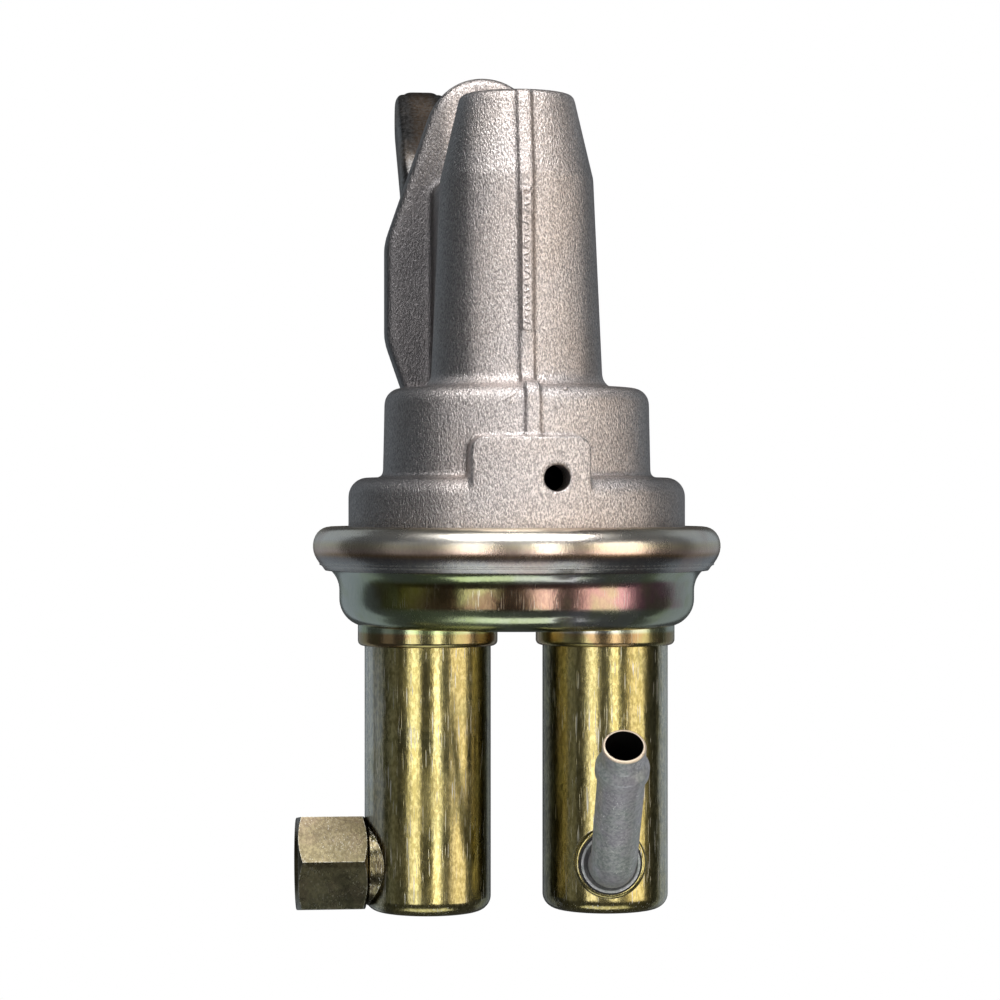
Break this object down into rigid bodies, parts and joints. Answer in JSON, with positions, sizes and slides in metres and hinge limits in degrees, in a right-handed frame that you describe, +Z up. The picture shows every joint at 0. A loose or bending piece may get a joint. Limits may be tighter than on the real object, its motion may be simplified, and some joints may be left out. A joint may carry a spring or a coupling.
{
  "type": "mechanical fuel pump",
  "caption": "Mechanical fuel pump with a tall cast arm housing, a bolted side flange, a rocker arm, a crimped steel base with fuel cans, a hexagon outlet and an angled hose nipple.",
  "frame": {"origin": "centre of the mounting face, midway between the bolt holes", "axes": "+Y out of the mounting face towards the engine, +Z up along the tower, +X from outlet can to inlet can"},
  "size_m": [0.089, 0.1347, 0.1821],
  "materials": {
    "casting": "sand-textured as-cast aluminium, warm grey",
    "arm_steel": "dark oiled forged steel",
    "plain_steel": "plain ground steel",
    "bronze": "sintered bronze",
    "spring_steel": "oiled spring wire",
    "plated_steel": "zinc-plated pressed steel",
    "diaphragm_rubber": "fabric-backed rubber",
    "seal_rubber": "black rubber",
    "zinc_casting": "as-cast light alloy",
    "valve_brass": "pressed brass",
    "valve_rubber": "fuel-proof rubber",
    "gasket_fibre": "cork and rubber sheet",
    "yellow_zinc_cover": "yellow chromated zinc plate, iridescent",
    "yellow_zinc_ring": "yellow chromated zinc plate, rolled",
    "yellow_zinc_can": "yellow chromated zinc plate, drawn",
    "yellow_zinc_fitting": "yellow chromated zinc plate, machined",
    "grey_zinc": "dull zinc plate with green tints"
  },
  "bodies": {
    "housing": {"upper_casting": "casting", "pivot_pin": "plain_steel", "pin_plugs": "plain_steel", "pivot_spacers": "plain_steel", "arm_return_spring": "spring_steel", "diaphragm": "diaphragm_rubber", "diaphragm_spring": "spring_steel", "rod_seal": "seal_rubber", "seal_retainer": "plated_steel", "valve_body": "zinc_casting", "inlet_valve_seat": "valve_brass", "inlet_valve_spring": "spring_steel", "outlet_valve_seat": "valve_brass", "outlet_valve_spring": "spring_steel", "cover_gasket": "gasket_fibre", "lower_cover": "yellow_zinc_cover", "crimp_ring": "yellow_zinc_ring", "outlet_can": "yellow_zinc_can", "outlet_fitting": "yellow_zinc_fitting", "inlet_can": "yellow_zinc_can", "inlet_nipple": "grey_zinc"},
    "arm": {"rocker_arm": "arm_steel", "arm_bush": "bronze", "spring_seat": "plain_steel"},
    "rod": {"pull_rod": "plain_steel", "rod_washer": "plain_steel", "upper_protector": "plated_steel", "lower_protector": "plated_steel"},
    "inlet_disc": {"inlet_valve_disc": "valve_rubber"},
    "outlet_disc": {"outlet_valve_disc": "valve_rubber"}
  },
  "joints": [
    {"name": "rocker_pivot", "type": "hinge", "parent": "housing", "child": "arm", "pos_m": [0.0027, -0.019, -0.0062], "axis": [-1, 0, 0], "range_deg": [0, 10], "stiffness_Nm_per_rad": 2.4, "springref_deg": -25.78, "deforming": ["arm_return_spring"]},
    {"name": "rod_slide", "type": "slide", "parent": "housing", "child": "rod", "axis": [0, 0, 1], "range_m": [0, 0.0049], "deforming": ["diaphragm_spring", "diaphragm"]},
    {"name": "inlet_valve_lift", "type": "slide", "parent": "housing", "child": "inlet_disc", "axis": [0, 0, 1], "range_m": [0, 0.0012], "stiffness_N_per_m": 20, "springref_m": -0.002, "deforming": ["inlet_valve_spring"]},
    {"name": "outlet_valve_lift", "type": "slide", "parent": "housing", "child": "outlet_disc", "axis": [0, 0, -1], "range_m": [0, 0.0012], "stiffness_N_per_m": 20, "springref_m": -0.002, "deforming": ["outlet_valve_spring"]}
  ],
  "couplings": [
    {"joint": "rod_slide", "follows": "rocker_pivot", "m_per_rad": 0.028071}
  ]
}
